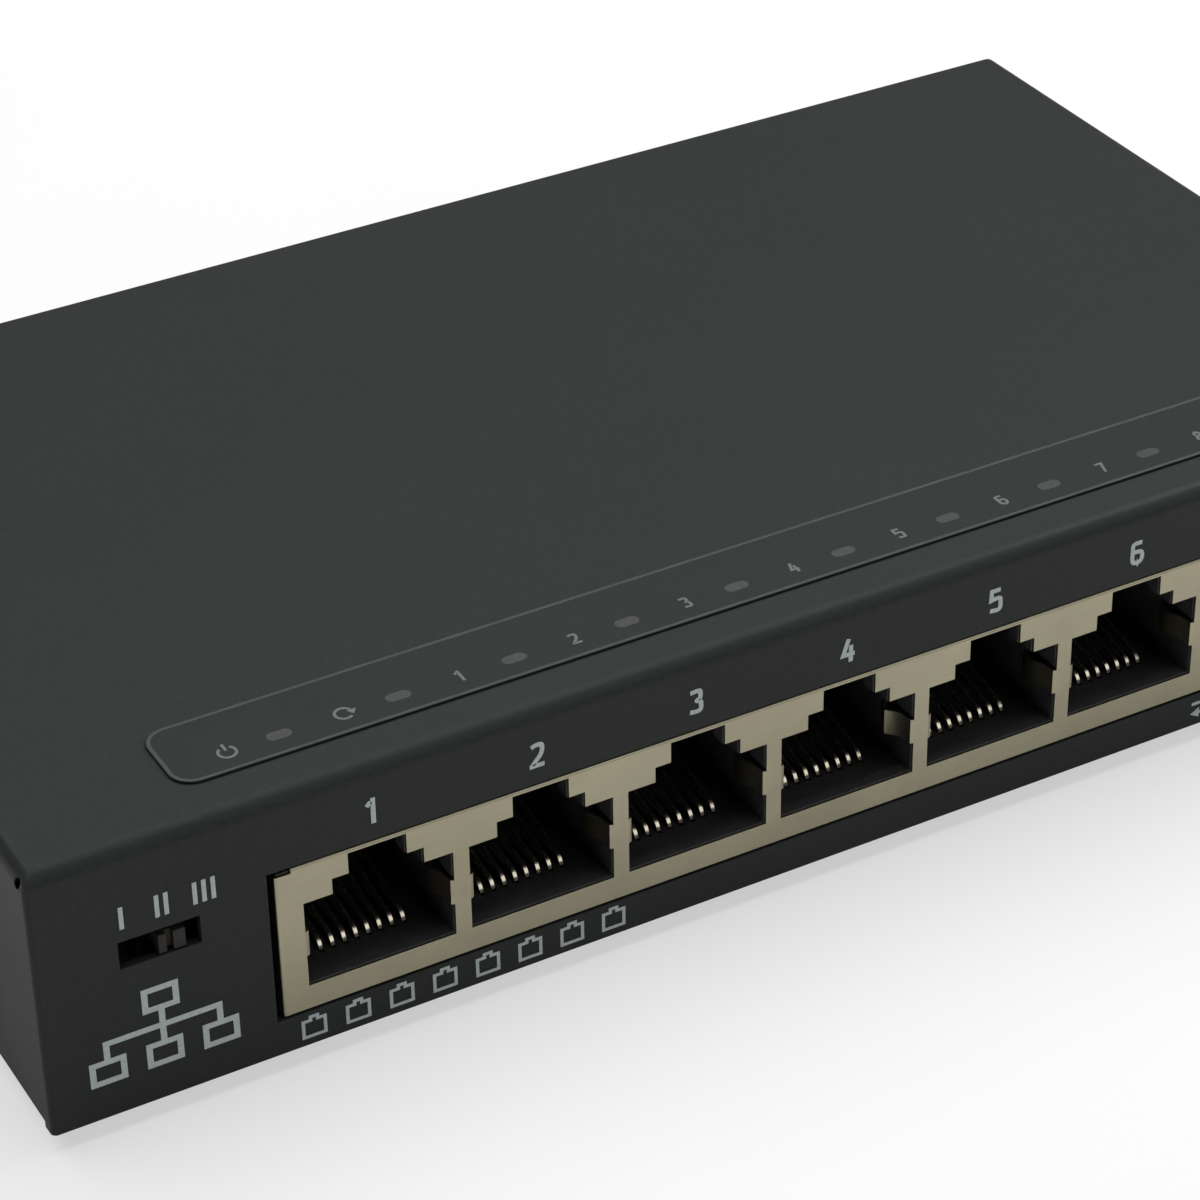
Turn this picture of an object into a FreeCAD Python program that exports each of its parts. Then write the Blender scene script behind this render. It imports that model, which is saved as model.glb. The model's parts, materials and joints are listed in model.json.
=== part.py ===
import FreeCAD, Part
import math
import os

# Eight-port desktop network switch in a folded steel case.
# Every size is in millimetres. The pieces are drawn from the case's lower front left corner:
# x runs right along the front, y runs back, z runs up from the underside of the base pan.
# save() then moves them so that the origin is on the table, under the middle of the case.

# ---------------------------------------------------------------- driving dimensions

case_width = 135.6
case_depth = 76.8
case_height = 24.0
sheet = 0.8                    # steel of the cover and the base pan
bend = 1.4                     # outer radius of the cover's folds
front_corner = 0.5             # radius of the cover's upright front corners
fit_gap = 0.15                 # room between nesting folds
side_lift = 0.95               # the cover's sides stop this far above the underside
foot_height = 1.8
foot_radius = 5.0
foot_inset = 12.0

port_count = 8
port_pitch = 13.97
first_port_x = 27.84
port_half = 6.29               # half width of a port's mouth
port_floor = 5.53
port_roof = 13.35
step_half = 3.84               # first step above the roof
step_roof = 14.75
latch_half = 2.43              # narrow slot for the plug's latch
latch_roof = 16.6

jack_left = 19.3
jack_right = 134.17
jack_front = 0.1
jack_depth = 18.95
jack_bottom = 3.38
jack_top = 16.96
foil = 0.25                    # thickness of the jack's shield
insert_front = 12.5            # where the contact carriers start
room_floor = 5.4               # floor of the wider room behind each mouth
room_roof = 13.27
groove_half = 0.22             # half width of the floor's groove for each wire
groove_floor = 3.9
window_gap = 0.22              # room over and under the jack in the front panel
window_gap_left = 0.6
window_gap_right = 0.33
finger_bottom = 8.4            # the shield's side fingers, inside each port
finger_top = 10.7
finger_thickness = 0.22
pressed_port = 3               # this port's fingers are bent in more sharply than the others

peg_y = 9.0                    # pegs under the jack that find it on the board

wire_half_width = 0.15
wire_half_thickness = 0.15
wire_pitch = 1.016
wires_per_port = 8
wire_run_z = 4.3               # the wires run forward at this height, then turn up and back
wire_turn_y = 4.83
wire_turn_radius = 0.95
wire_slope = 13.0              # degrees, free ends rising to the back
wire_free_length = 5.9
tail_rows = (15.2, 17.2)
tail_end_z = 1.5

board_thickness = 1.2
board_top = jack_bottom
board_bottom = board_top - board_thickness
board_left = 2.0
board_right = case_width - 2.0
board_front = 1.1
board_back = 74.6
board_screws_at = ((6.4, 15.0), (6.4, 70.0), (129.4, 70.0), (129.4, 23.6))
screw_radius = 1.25
screw_hole_radius = 1.6

indicator_count = 10
indicator_pitch = 9.952
first_indicator_x = 23.375
indicator_y = 6.7
indicator_length = 2.1
indicator_width = 1.1
led_y = 23.6
led_height = 0.7

label_left = 14.1
label_right = 122.2
label_front = 4.3
label_back = 12.0
label_thickness = 0.2
label_corner = 2.0

selector_left = 6.65
selector_right = 13.2
selector_bottom = 13.2
selector_top = 15.65
selector_x = 10.9              # the slider's middle, at rest in its right-hand position
selector_step = 1.45           # from each of its three places to the next
selector_travel = 2 * selector_step
knob_half = 1.1
knob_front = 0.05
knob_bottom = 13.35
knob_top = 15.05
slider_half = 2.0
slider_bottom = 11.7
slider_top = 16.5
selector_body_left = 5.1
selector_body_right = 14.6
selector_body_front = 2.4
selector_body_back = 7.4
selector_body_top = 16.9

cover_screw_z = 5.0
cover_screw_rows = (27.0, 69.0)
cover_screw_reach = 2.8        # how far the screws reach in from the side
tab_length = 12.0
tab_height = 9.5
tab_gap = 0.4                  # slits at the ends of each tab

vent_rows = 13
vent_pitch = 4.0
first_vent_y = 22.0

inlet_x = 111.0
inlet_z = board_top + 6.3
inlet_bore = 3.15
inlet_pin = 1.0
inlet_shoulder = 1.4           # the pin's thicker root, held in the moulding
inlet_face = case_depth - sheet - 0.05
inlet_length = 14.0
inlet_bore_depth = 9.5

chip_x = 72.0
chip_y = 55.0
chip_half = 7.0
chip_height = 0.9
pad_thickness = 0.5
leg_half = 0.18                # half width of the chips' legs
leg_thickness = 0.2

V = FreeCAD.Vector
to_table = V(-case_width / 2, -case_depth / 2, foot_height)


# ---------------------------------------------------------------- helpers

def box(x0, x1, y0, y1, z0, z1):
    return Part.makeBox(x1 - x0, y1 - y0, z1 - z0, V(x0, y0, z0))


def rod(radius, start, end):
    along = V(*end) - V(*start)
    return Part.makeCylinder(radius, along.Length, V(*start), along)


def fuse(pieces):
    first = pieces[0]
    if len(pieces) == 1:
        return first
    return first.multiFuse(pieces[1:]).removeSplitter()


def cut(shape, tools):
    return shape.cut(Part.makeCompound(tools)) if tools else shape


def prism_along_y(points, y0, y1):
    """A closed outline of (x, z) points, pushed from y0 to y1."""
    corners = [V(x, y0, z) for x, z in points]
    face = Part.Face(Part.makePolygon(corners + corners[:1]))
    return face.extrude(V(0, y1 - y0, 0))


def prism_along_x(points, x0, x1):
    """A closed outline of (y, z) points, pushed from x0 to x1."""
    corners = [V(x0, y, z) for y, z in points]
    face = Part.Face(Part.makePolygon(corners + corners[:1]))
    return face.extrude(V(x1 - x0, 0, 0))


def prism_along_z(points, z0, z1):
    """A closed outline of (x, y) points, pushed from z0 to z1."""
    corners = [V(x, y, z0) for x, y in points]
    face = Part.Face(Part.makePolygon(corners + corners[:1]))
    return face.extrude(V(0, 0, z1 - z0))


def round_edges(shape, radius, chosen):
    """Fillets every edge whose middle point passes the test."""
    edges = [e for e in shape.Edges if chosen(e.CenterOfMass, e)]
    return shape.makeFillet(radius, edges)


def is_vertical(edge):
    first, last = edge.Vertexes[0].Point, edge.Vertexes[-1].Point
    return abs(first.x - last.x) < 1e-6 and abs(first.y - last.y) < 1e-6


def rounded_plate(x0, x1, y0, y1, z0, z1, radius):
    plate = box(x0, x1, y0, y1, z0, z1)
    return round_edges(plate, radius, lambda middle, edge: is_vertical(edge))


def stadium(x, y, length, width, z0, z1):
    """An upright prism with round ends, long along x."""
    half = (length - width) / 2
    middle = box(x - half, x + half, y - width / 2, y + width / 2, z0, z1)
    ends = [Part.makeCylinder(width / 2, z1 - z0, V(x + s * half, y, z0)) for s in (-1, 1)]
    return fuse([middle] + ends)


def strip_outline(points, thickness):
    """The outline of a bent strip: its run of points, and back again on the left-hand side."""
    back = []
    for i, (a, b) in enumerate(points):
        before = points[max(i - 1, 0)]
        after = points[min(i + 1, len(points) - 1)]
        normals = []
        for p, q in ((before, (a, b)), ((a, b), after)):
            run = math.hypot(q[0] - p[0], q[1] - p[1])
            if run > 0:
                normals.append((-(q[1] - p[1]) / run, (q[0] - p[0]) / run))
        u = sum(n[0] for n in normals) / len(normals)
        v = sum(n[1] for n in normals) / len(normals)
        reach = thickness / (u * u + v * v)
        back.append((a + u * reach, b + v * reach))
    return points + back[::-1]


def port_x(port):
    return first_port_x + port_pitch * port


def wire_x(port, wire):
    return port_x(port) + (wire - (wires_per_port - 1) / 2) * wire_pitch


def wire_tail_y(wire):
    return tail_rows[wire % 2]


def indicator_x(number):
    return first_indicator_x + indicator_pitch * number


def save(name, shape):
    moved = shape.copy()
    moved.translate(to_table)
    solids = moved.Solids
    result = solids[0] if len(solids) == 1 else Part.makeCompound(solids)
    assert result.isValid() and all(s.isClosed() and s.Volume > 0 for s in solids), name
    result.exportStep(os.path.join("parts", name + ".step"))


# ---------------------------------------------------------------- case

def case_block(inset, radius, y_end):
    """A block with the cover's folds, round along the top's front and sides."""
    top = case_height - inset
    block = box(inset, case_width - inset, inset, y_end, 0, top)
    return round_edges(block, radius, lambda m, e: abs(m.z - top) < 1e-6 and m.y < y_end - 1)


def corner_block():
    """The whole case's block with its two upright front corners rounded."""
    block = box(0, case_width, 0, case_depth, 0, case_height)
    return round_edges(block, front_corner, lambda m, e: is_vertical(e) and abs(m.y) < 1e-6)


def corner_relief(side):
    """The small slanted hole where three folds meet at a front corner."""
    x = 0.55 if side < 0 else case_width - 0.55
    return rod(0.42, (x + side * 2.0, 0.2, case_height + 0.6), (x - side * 0.6, 1.9, case_height - 2.2))


def vent_slots():
    slots = []
    for i in range(vent_rows):
        y = first_vent_y + vent_pitch * i
        middle = box(-1, case_width + 1, y - 0.9, y + 0.9, 12.4, 18.6)
        ends = [rod(0.9, (-1, y, z), (case_width + 1, y, z)) for z in (12.4, 18.6)]
        slots.append(fuse([middle] + ends))
    return slots


def cover_screw_cones(outer, inner, depth):
    """Countersinks on both sides, from radius outer at the surface to inner at the given depth."""
    cones = []
    for y in cover_screw_rows:
        cones.append(Part.makeCone(outer, inner, depth, V(0, y, cover_screw_z), V(1, 0, 0)))
        cones.append(Part.makeCone(outer, inner, depth, V(case_width, y, cover_screw_z), V(-1, 0, 0)))
    return cones


def top_cover():
    """Top, front and both sides, folded from one sheet and open at the back and underneath."""
    outer = case_block(0, bend, case_depth).common(corner_block())
    inner = case_block(sheet, bend - sheet, case_depth + 1)
    inner = fuse([inner, box(sheet, case_width - sheet, sheet, case_depth + 1, -1, 1)])
    shell = outer.cut(inner)
    jack_window = box(jack_left - window_gap_left, jack_right + window_gap_right, -1, sheet + 0.1,
                      jack_bottom - window_gap, jack_top + window_gap)
    selector_window = box(selector_left, selector_right, -1, sheet + 0.1,
                          selector_bottom, selector_top)
    light_holes = [stadium(indicator_x(i), indicator_y, indicator_length + 0.4,
                           indicator_width + 0.4, case_height - 2, case_height + 1)
                   for i in range(indicator_count)]
    side_trims = [box(-1, bend, bend, case_depth + 1, -1, side_lift),
                  box(case_width - bend, case_width + 1, bend, case_depth + 1, -1, side_lift)]
    screw_seats = cover_screw_cones(2.4, 1.6, sheet)
    reliefs = [corner_relief(side) for side in (-1, 1)]
    tools = [jack_window, selector_window] + light_holes + side_trims + screw_seats
    return cut(cut(shell, tools + reliefs), vent_slots())


def is_front_or_top_corner(edge, front, top):
    """The pan's upright front corners and its back wall's top corners, which clear the cover's folds."""
    middle = edge.CenterOfMass
    upright = is_vertical(edge) and abs(middle.y - front) < 1e-6
    lengthwise = edge.Vertexes[0].Point.x == edge.Vertexes[-1].Point.x
    return upright or (lengthwise and abs(middle.z - top) < 1e-6 and 2 < middle.y)


def base_pan():
    """Bottom and back in one sheet, with two screw tabs lanced up on each side."""
    back_top = case_height - sheet - 0.1
    left = sheet + fit_gap
    right = case_width - left
    front = sheet + fit_gap
    floor = box(0.2, case_width - 0.2, bend + fit_gap, case_depth - 1.4, 0, sheet)
    profile = box(left, right, front, case_depth, 0, back_top)
    profile = round_edges(profile, 1.3, lambda m, e:
                          abs(m.z) < 1e-6 and abs(m.y - case_depth) < 1e-6)
    corners = [e for e in profile.Edges if is_front_or_top_corner(e, front, back_top)]
    profile = profile.makeChamfer(0.5, corners)
    hollow = box(0, case_width, 0, case_depth - sheet, sheet, case_height)
    hollow = round_edges(hollow, 0.5, lambda m, e:
                         abs(m.z - sheet) < 1e-6 and abs(m.y - case_depth + sheet) < 1e-6)
    pan = fuse([floor, profile.cut(hollow)])
    gaps = []
    tabs = []
    roots = []
    holes = []
    for y in cover_screw_rows:
        y0, y1 = y - tab_length / 2, y + tab_length / 2
        gaps.append(box(0, left + sheet, y0 - tab_gap, y1 + tab_gap, -1, sheet + 1))
        gaps.append(box(right - sheet, case_width, y0 - tab_gap, y1 + tab_gap, -1, sheet + 1))
        tabs.append(box(left, left + sheet, y0, y1, sheet / 2, tab_height))
        tabs.append(box(right - sheet, right, y0, y1, sheet / 2, tab_height))
        roots.append(box(left, left + sheet + 2, y0, y1, 0, sheet))
        roots.append(box(right - sheet - 2, right, y0, y1, 0, sheet))
        holes.append(rod(screw_radius, (-1, y, cover_screw_z), (case_width + 1, y, cover_screw_z)))
    pan = fuse([cut(pan, gaps)] + tabs + roots)
    inlet_hole = rod(4.1, (inlet_x, case_depth - 3, inlet_z), (inlet_x, case_depth + 1, inlet_z))
    bosses = [Part.makeCylinder(2.1, 4, V(x, y, -1)) for x, y in board_screws_at]
    return cut(pan, holes + bosses + [inlet_hole])


def board_standoffs():
    """Round clinched bushes that hold the board off the pan."""
    bushes = []
    for x, y in board_screws_at:
        collar = Part.makeCylinder(2.7, board_bottom - sheet, V(x, y, sheet))
        shank = Part.makeCylinder(2.1, sheet, V(x, y, 0))
        bore = Part.makeCylinder(screw_radius, 6, V(x, y, -1))
        bushes.append(fuse([collar, shank]).cut(bore))
    return Part.makeCompound(bushes)


def cross_recess(x, y, z, depth):
    """A cross-head drive, cut down from height z."""
    return fuse([box(x - 1.3, x + 1.3, y - 0.25, y + 0.25, z - depth, z + 1),
                 box(x - 0.25, x + 0.25, y - 1.3, y + 1.3, z - depth, z + 1)])


def board_screws():
    screws = []
    for x, y in board_screws_at:
        head = Part.makeCylinder(2.6, 1.8, V(x, y, board_top))
        head = round_edges(head, 0.6, lambda m, e: abs(m.z - board_top - 1.8) < 1e-6)
        shank = Part.makeCylinder(screw_radius, 3.1, V(x, y, board_top - 3.1))
        screws.append(fuse([head, shank]).cut(cross_recess(x, y, board_top + 1.8, 0.9)))
    return Part.makeCompound(screws)


def cover_screws():
    """Flush countersunk screws through the cover's sides into the pan's tabs."""
    screws = []
    for y in cover_screw_rows:
        for x, way in ((0.02, 1), (case_width - 0.02, -1)):
            head = Part.makeCone(2.3, 1.5, sheet - 0.02, V(x, y, cover_screw_z), V(way, 0, 0))
            shank = rod(screw_radius, (x + way * 0.5, y, cover_screw_z),
                        (x + way * cover_screw_reach, y, cover_screw_z))
            x0, x1 = sorted((x - way, x + way * 0.55))
            drive = fuse([box(x0, x1, y - 1.2, y + 1.2, cover_screw_z - 0.22, cover_screw_z + 0.22),
                          box(x0, x1, y - 0.22, y + 0.22, cover_screw_z - 1.2, cover_screw_z + 1.2)])
            screws.append(fuse([head, shank]).cut(drive))
    return Part.makeCompound(screws)


def rubber_foot(x, y):
    foot = Part.makeCylinder(foot_radius, foot_height, V(x, y, -foot_height))
    return round_edges(foot, 0.5, lambda m, e: abs(m.z + foot_height) < 1e-6)


def indicator_label():
    """The raised overlay on the top, with ten cut-outs for the lit windows."""
    plate = rounded_plate(label_left, label_right, label_front, label_back,
                          case_height, case_height + label_thickness, label_corner)
    windows = [stadium(indicator_x(i), indicator_y, indicator_length, indicator_width,
                       case_height - 1, case_height + 1) for i in range(indicator_count)]
    return cut(plate, windows)


def indicator_windows():
    return Part.makeCompound(
        [stadium(indicator_x(i), indicator_y, indicator_length - 0.02, indicator_width - 0.02,
                 case_height, case_height + label_thickness) for i in range(indicator_count)])


# ---------------------------------------------------------------- port block

def mouth_outline(port, inset):
    """The stepped outline of a port with its latch slot at the top, as (x, z) points."""
    x = port_x(port)
    wide, middle, narrow = port_half - inset, step_half - inset, latch_half - inset
    right = [(wide, port_floor + inset), (wide, port_roof - inset), (middle, port_roof - inset),
             (middle, step_roof - inset), (narrow, step_roof - inset), (narrow, latch_roof - inset)]
    return [(x + a, z) for a, z in right] + [(x - a, z) for a, z in reversed(right)]


def port_cavity(port):
    """The space in the plastic for one plug: a mouth with retaining lips, and a wider room behind."""
    x = port_x(port)
    mouth = prism_along_y(mouth_outline(port, 0.08), 0, 2.2)
    room = box(x - 6.2, x + 6.2, 1.5, insert_front, room_floor, room_roof)
    latch_room = box(x - 4.6, x + 4.6, 1.75, insert_front, 13.2, 16.2)
    finger_room = box(x - 6.5, x + 6.5, 0, 4.5, 8.2, 10.9)
    return fuse([mouth, room, latch_room, finger_room])


def jack_housing():
    """One black moulding with a cavity for each plug and a pocket behind each for its contacts."""
    block = box(jack_left + foil, jack_right - foil, jack_front + foil, jack_front + jack_depth - 0.25,
                jack_bottom, jack_top - foil)
    back = jack_front + jack_depth
    wire_front = wire_turn_y - wire_turn_radius - wire_half_thickness
    cavities = [port_cavity(port) for port in range(port_count)]
    pockets = [box(port_x(p) - 6.0, port_x(p) + 6.0, insert_front, back, 0, 12.0)
               for p in range(port_count)]
    grooves = []
    for port in range(port_count):
        for wire in range(wires_per_port):
            x = wire_x(port, wire)
            grooves.append(box(x - groove_half, x + groove_half, wire_front - 0.25, insert_front + 0.5,
                               groove_floor, room_floor + 0.2))
    pegs = [Part.makeCylinder(1.4, 2.5, V(x, peg_y, board_top - 2.1)) for x in peg_places()]
    return fuse([cut(cut(block, cavities), pockets + grooves)] + pegs)


def peg_places():
    """The two plastic pegs stand under the webs between the outer pairs of ports."""
    return (port_x(0) + port_pitch / 2, port_x(port_count - 1) - port_pitch / 2)


def side_finger(port, side):
    """A springy contact finger, cut from the shield and bent into the port beside the plug."""
    edge = port_x(port) + side * port_half
    run = [(0.0, jack_front), (0.28, jack_front + 0.12)]
    if port == pressed_port:
        run += [(0.45, 1.55), (1.3, 2.5), (0.85, 3.7)]
    else:
        run += [(0.45, 1.55), (1.05, 2.7), (0.7, 3.9)]
    outline = strip_outline(run, finger_thickness)
    points = [(edge - side * inward, depth) for inward, depth in outline]
    return prism_along_z(points, finger_bottom, finger_top)


def jack_front_shield():
    """Plated sheet over the front, top and ends of the port block, with two fingers in each port."""
    back = jack_front + jack_depth - 0.25
    outer = box(jack_left, jack_right, jack_front, back, jack_bottom, jack_top)
    outer = round_edges(outer, 0.3, lambda m, e: abs(m.y - jack_front) < 1e-6 and m.z > jack_bottom + 1)
    inner = box(jack_left + foil, jack_right - foil, jack_front + foil, back + 1,
                jack_bottom - 1, jack_top - foil)
    mouths = [prism_along_y(mouth_outline(p, 0), -1, 2) for p in range(port_count)]
    notches = [box(x0, x1, -1, 1.2, jack_top - 0.42, jack_top + 1)
               for x0, x1 in ((jack_left - 1, jack_left + 1.4), (jack_right - 1.4, jack_right + 1))]
    sheet_part = cut(outer.cut(inner), mouths + notches)
    fingers = [side_finger(p, side) for p in range(port_count) for side in (-1, 1)]
    tails = [box(x, x + foil, 8.0, 9.4, board_bottom - 0.6, jack_bottom + 0.5)
             for x in (jack_left, jack_right - foil)]
    return fuse([sheet_part] + fingers + tails)


def jack_rear_shield():
    """The plate that closes the back of the port block, with four solder tails."""
    y0 = jack_front + jack_depth - 0.25
    plate = box(jack_left, jack_right, y0, y0 + foil, jack_bottom + 0.1, jack_top)
    tails = [box(x - 0.7, x + 0.7, y0, y0 + foil, board_bottom - 0.6, jack_bottom + 1)
             for x in rear_tail_places()]
    return fuse([plate] + tails)


def rear_tail_places():
    return [port_x(p) + port_pitch / 2 for p in (0, 2, 4, 6)]


def contact_insert(port):
    """The plastic carrier behind one cavity, with a groove underneath for each wire."""
    x = port_x(port)
    block = box(x - 5.95, x + 5.95, insert_front + 0.05, jack_front + jack_depth - 0.3, 3.5, 11.95)
    side = wire_half_width + 0.04
    above = wire_half_thickness + 0.04
    grooves = [box(wire_x(port, w) - side, wire_x(port, w) + side, insert_front - 1,
                   wire_tail_y(w) + above, 3, wire_run_z + above)
               for w in range(wires_per_port)]
    return cut(block, grooves)


def contact_wire(x, tail_y):
    """One square sprung wire: up from the board, forward under the floor, round and back up into the port."""
    corner = 0.5
    top = wire_run_z
    slope = math.radians(wire_slope)
    centre = V(x, wire_turn_y, top + wire_turn_radius)

    def on_turn(angle):
        return centre + V(0, math.cos(angle), math.sin(angle)) * wire_turn_radius

    turn_end_angle = -1.5 * math.pi + slope
    turn_end = on_turn(turn_end_angle)
    turn_middle = on_turn((-0.5 * math.pi + turn_end_angle) / 2)
    tip = turn_end + V(0, math.cos(slope), math.sin(slope)) * wire_free_length
    low = V(x, tail_y, tail_end_z)
    bend_start = V(x, tail_y, top - corner)
    bend_end = V(x, tail_y - corner, top)
    diagonal = corner * (1 - math.sqrt(0.5))
    bend_middle = V(x, tail_y - diagonal, top - diagonal)
    run_end = V(x, wire_turn_y, top)
    path = Part.Wire([
        Part.LineSegment(low, bend_start).toShape(),
        Part.Arc(bend_start, bend_middle, bend_end).toShape(),
        Part.LineSegment(bend_end, run_end).toShape(),
        Part.Arc(run_end, turn_middle, turn_end).toShape(),
        Part.LineSegment(turn_end, tip).toShape(),
    ])
    corners = [low + V(side * wire_half_width, face * wire_half_thickness, 0)
               for side, face in ((-1, -1), (1, -1), (1, 1), (-1, 1))]
    section = Part.makePolygon(corners + corners[:1])
    return path.makePipeShell([section], True, False)


def contact_set(port):
    return Part.makeCompound([contact_wire(wire_x(port, w), wire_tail_y(w))
                              for w in range(wires_per_port)])


# ---------------------------------------------------------------- board and what stands on it

def main_board():
    board = rounded_plate(board_left, board_right, board_front, board_back,
                          board_bottom, board_top, 1.0)
    drills = [(x, y, screw_hole_radius) for x, y in board_screws_at]
    for port in range(port_count):
        for wire in range(wires_per_port):
            drills.append((wire_x(port, wire), wire_tail_y(wire), 0.42))
    drills += [(x, peg_y, 1.5) for x in peg_places()]
    drills += [(x, jack_front + jack_depth - 0.13, 0.85) for x in rear_tail_places()]
    drills += [(jack_left + foil / 2, 8.7, 0.85)]
    drills += [(x, 5.15, 0.55) for x in terminal_places()]
    drills += [(inlet_x, inlet_face - inlet_length - 0.15, 1.1), (inlet_x, 70.0, 1.4)]
    holes = [Part.makeCylinder(r, 4, V(x, y, board_bottom - 1)) for x, y, r in drills]
    edge_bite = box(board_right - 0.2, board_right + 1, 7.4, 10.0, 0, 5)
    return cut(board, holes + [edge_bite])


def indicator_leds():
    """Ten small surface-mounted lamps behind the port block, one under each arm of the light guide."""
    lamps = []
    for i in range(indicator_count):
        x = indicator_x(i)
        base = box(x - 0.8, x + 0.8, led_y - 0.4, led_y + 0.4, board_top, board_top + 0.3)
        lens = box(x - 0.5, x + 0.5, led_y - 0.38, led_y + 0.38, board_top + 0.3,
                   board_top + led_height)
        lamps.append(fuse([base, lens]))
    return Part.makeCompound(lamps)


def light_guide():
    """Clear moulding whose arms carry light up behind the port block and forward to the windows."""
    low, high = 20.2, 21.8
    foot = board_top + led_height + 0.15
    tip = case_height - 0.9
    led_front, led_back = led_y - 0.8, led_y + 0.8
    tip_front, tip_back = indicator_y - 0.5, indicator_y + 0.5
    outline = [(tip_front + 0.6, low), (led_front, low), (led_front, foot), (led_back, foot),
               (led_back, high - 1.2), (led_y - 0.4, high), (tip_back, high), (tip_back, tip),
               (tip_front, tip), (tip_front, low + 0.5)]
    arms = []
    for i in range(indicator_count):
        x = indicator_x(i)
        arms.append(prism_along_x(outline, x - 0.95, x + 0.95))
    first, last = indicator_x(0), indicator_x(indicator_count - 1)
    rails = [box(first, last, y - 0.8, y + 0.8, low + 0.1, high - 0.1) for y in (11.5, 17.0)]
    legs = [box(x - 1.5, x + 1.5, 10.9, 17.6, jack_top + 0.02, low + 0.5)
            for x in (first + 4.9, (first + last) / 2, last - 4.9)]
    return fuse(rails + arms + legs)


def chip_with_legs(x, y, width, depth, height, legs, pitch, spread):
    """A moulded package, long along x, with gull-wing legs along its front and back."""
    z = board_top
    shoulder = z + height * 0.4
    body = box(x - width / 2, x + width / 2, y - depth / 2, y + depth / 2, z + 0.15, z + height)
    body = body.makeChamfer(0.25, [e for e in body.Edges if e.CenterOfMass.z > z + height - 1e-6])
    pieces = [body]
    for i in range(legs):
        leg_x = x + (i - (legs - 1) / 2) * pitch
        for way in (-1, 1):
            wall = y + way * depth / 2
            toe = wall + way * spread
            near = wall + way * (spread * 0.45 - leg_thickness / 2)
            far = near + way * leg_thickness
            for a, b, low, high in ((wall, far, shoulder, shoulder + leg_thickness),
                                    (near, far, z, shoulder + leg_thickness),
                                    (near, toe, z, z + leg_thickness)):
                pieces.append(box(leg_x - leg_half, leg_x + leg_half, min(a, b), max(a, b), low, high))
    return fuse(pieces)


def magnetics_x(number):
    return (port_x(2 * number) + port_x(2 * number + 1)) / 2


def magnetics(number):
    """The isolating transformer module of one pair of ports."""
    return chip_with_legs(magnetics_x(number), 34.7, 23.6, 12.0, 5.8, 16, 1.27, 1.6)


def memory_chip():
    return chip_with_legs(96.0, 50.0, 4.9, 3.9, 1.5, 4, 1.27, 1.0)


def voltage_regulator():
    return chip_with_legs(100.0, 65.5, 6.5, 3.5, 1.7, 3, 2.3, 1.6)


def switch_chip():
    """The flat leadless processor package, with a dimple at its first corner."""
    top = board_top + chip_height
    body = box(chip_x - chip_half, chip_x + chip_half, chip_y - chip_half, chip_y + chip_half,
               board_top, top)
    body = body.makeChamfer(0.2, [e for e in body.Edges if e.CenterOfMass.z > top - 1e-6])
    return body.cut(Part.makeCylinder(0.6, 1, V(chip_x - 5.4, chip_y - 5.4, top - 0.1)))


def thermal_pad():
    z = board_top + chip_height
    return box(chip_x - 6.2, chip_x + 6.2, chip_y - 6.2, chip_y + 6.2, z, z + pad_thickness)


def heat_sink():
    z = board_top + chip_height + pad_thickness
    fins = 8
    half = 10.0
    block = box(chip_x - half, chip_x + half, chip_y - half, chip_y + half, z, z + 8.0)
    gap = (2 * half - fins * 0.9) / (fins - 1)
    gaps = []
    for i in range(fins - 1):
        x = chip_x - half + 0.9 + i * (gap + 0.9)
        gaps.append(box(x, x + gap, chip_y - half - 1, chip_y + half + 1, z + 1.6, z + 9.0))
    return cut(block, gaps)


def crystal():
    """The clock crystal: a low metal can with round ends on a flat base."""
    x, y = 90.0, 60.0
    base = stadium(x, y, 11.2, 4.8, board_top, board_top + 0.5)
    can = stadium(x, y, 10.4, 4.0, board_top + 0.5, board_top + 3.6)
    return fuse([base, can])


def power_inductor():
    x, y = 118.5, 55.0
    block = rounded_plate(x - 3.7, x + 3.7, y - 3.7, y + 3.7, board_top, board_top + 4.2, 1.2)
    return block.cut(Part.makeTorus(2.3, 0.35, V(x, y, board_top + 4.2), V(0, 0, 1)))


def filter_capacitors():
    """Two upright electrolytic cans near the power inlet, each with a pinched groove near its foot."""
    cans = []
    for x, y in ((90.5, 69.0), (121.0, 67.5)):
        can = Part.makeCylinder(3.15, 11.0, V(x, y, board_top))
        can = round_edges(can, 0.4, lambda m, e: m.z > board_top + 10.9)
        cans.append(can.cut(Part.makeTorus(3.35, 0.45, V(x, y, board_top + 1.8), V(0, 0, 1))))
    return Part.makeCompound(cans)


def small_components():
    """Rows of small resistors and capacitors around the chip and behind the transformers."""
    places = [(22.0 + 4.1 * i, 43.2) for i in range(25)]
    places += [(chip_x - 13.0, 47.0 + 2.4 * i) for i in range(7)]
    places += [(chip_x + 12.5, 47.0 + 2.4 * i) for i in range(4)]
    places += [(108.0 + 3.0 * i, 50.0) for i in range(2)]
    return Part.makeCompound([box(x - 0.8, x + 0.8, y - 0.4, y + 0.4, board_top, board_top + 0.55)
                              for x, y in places])


# ---------------------------------------------------------------- mode selector

def terminal_places():
    """Four terminals, so that each of the slider's three places lies over the gap between two."""
    return [selector_x + selector_step * (i - 2.5) for i in range(4)]


def mode_switch_base():
    """The slide switch's tall moulding, with a track for its slider at the front."""
    block = box(selector_body_left, selector_body_right, selector_body_front, selector_body_back,
                board_top, selector_body_top)
    track = box(selector_x - selector_travel - slider_half - 0.2, selector_x + slider_half + 0.2,
                selector_body_front - 1, 5.0, slider_bottom - 0.15, slider_top + 0.15)
    slots = [box(x - 0.42, x + 0.42, 4.98, 5.32, 0, 15.2) for x in terminal_places()]
    return cut(block, [track] + slots)


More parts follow.
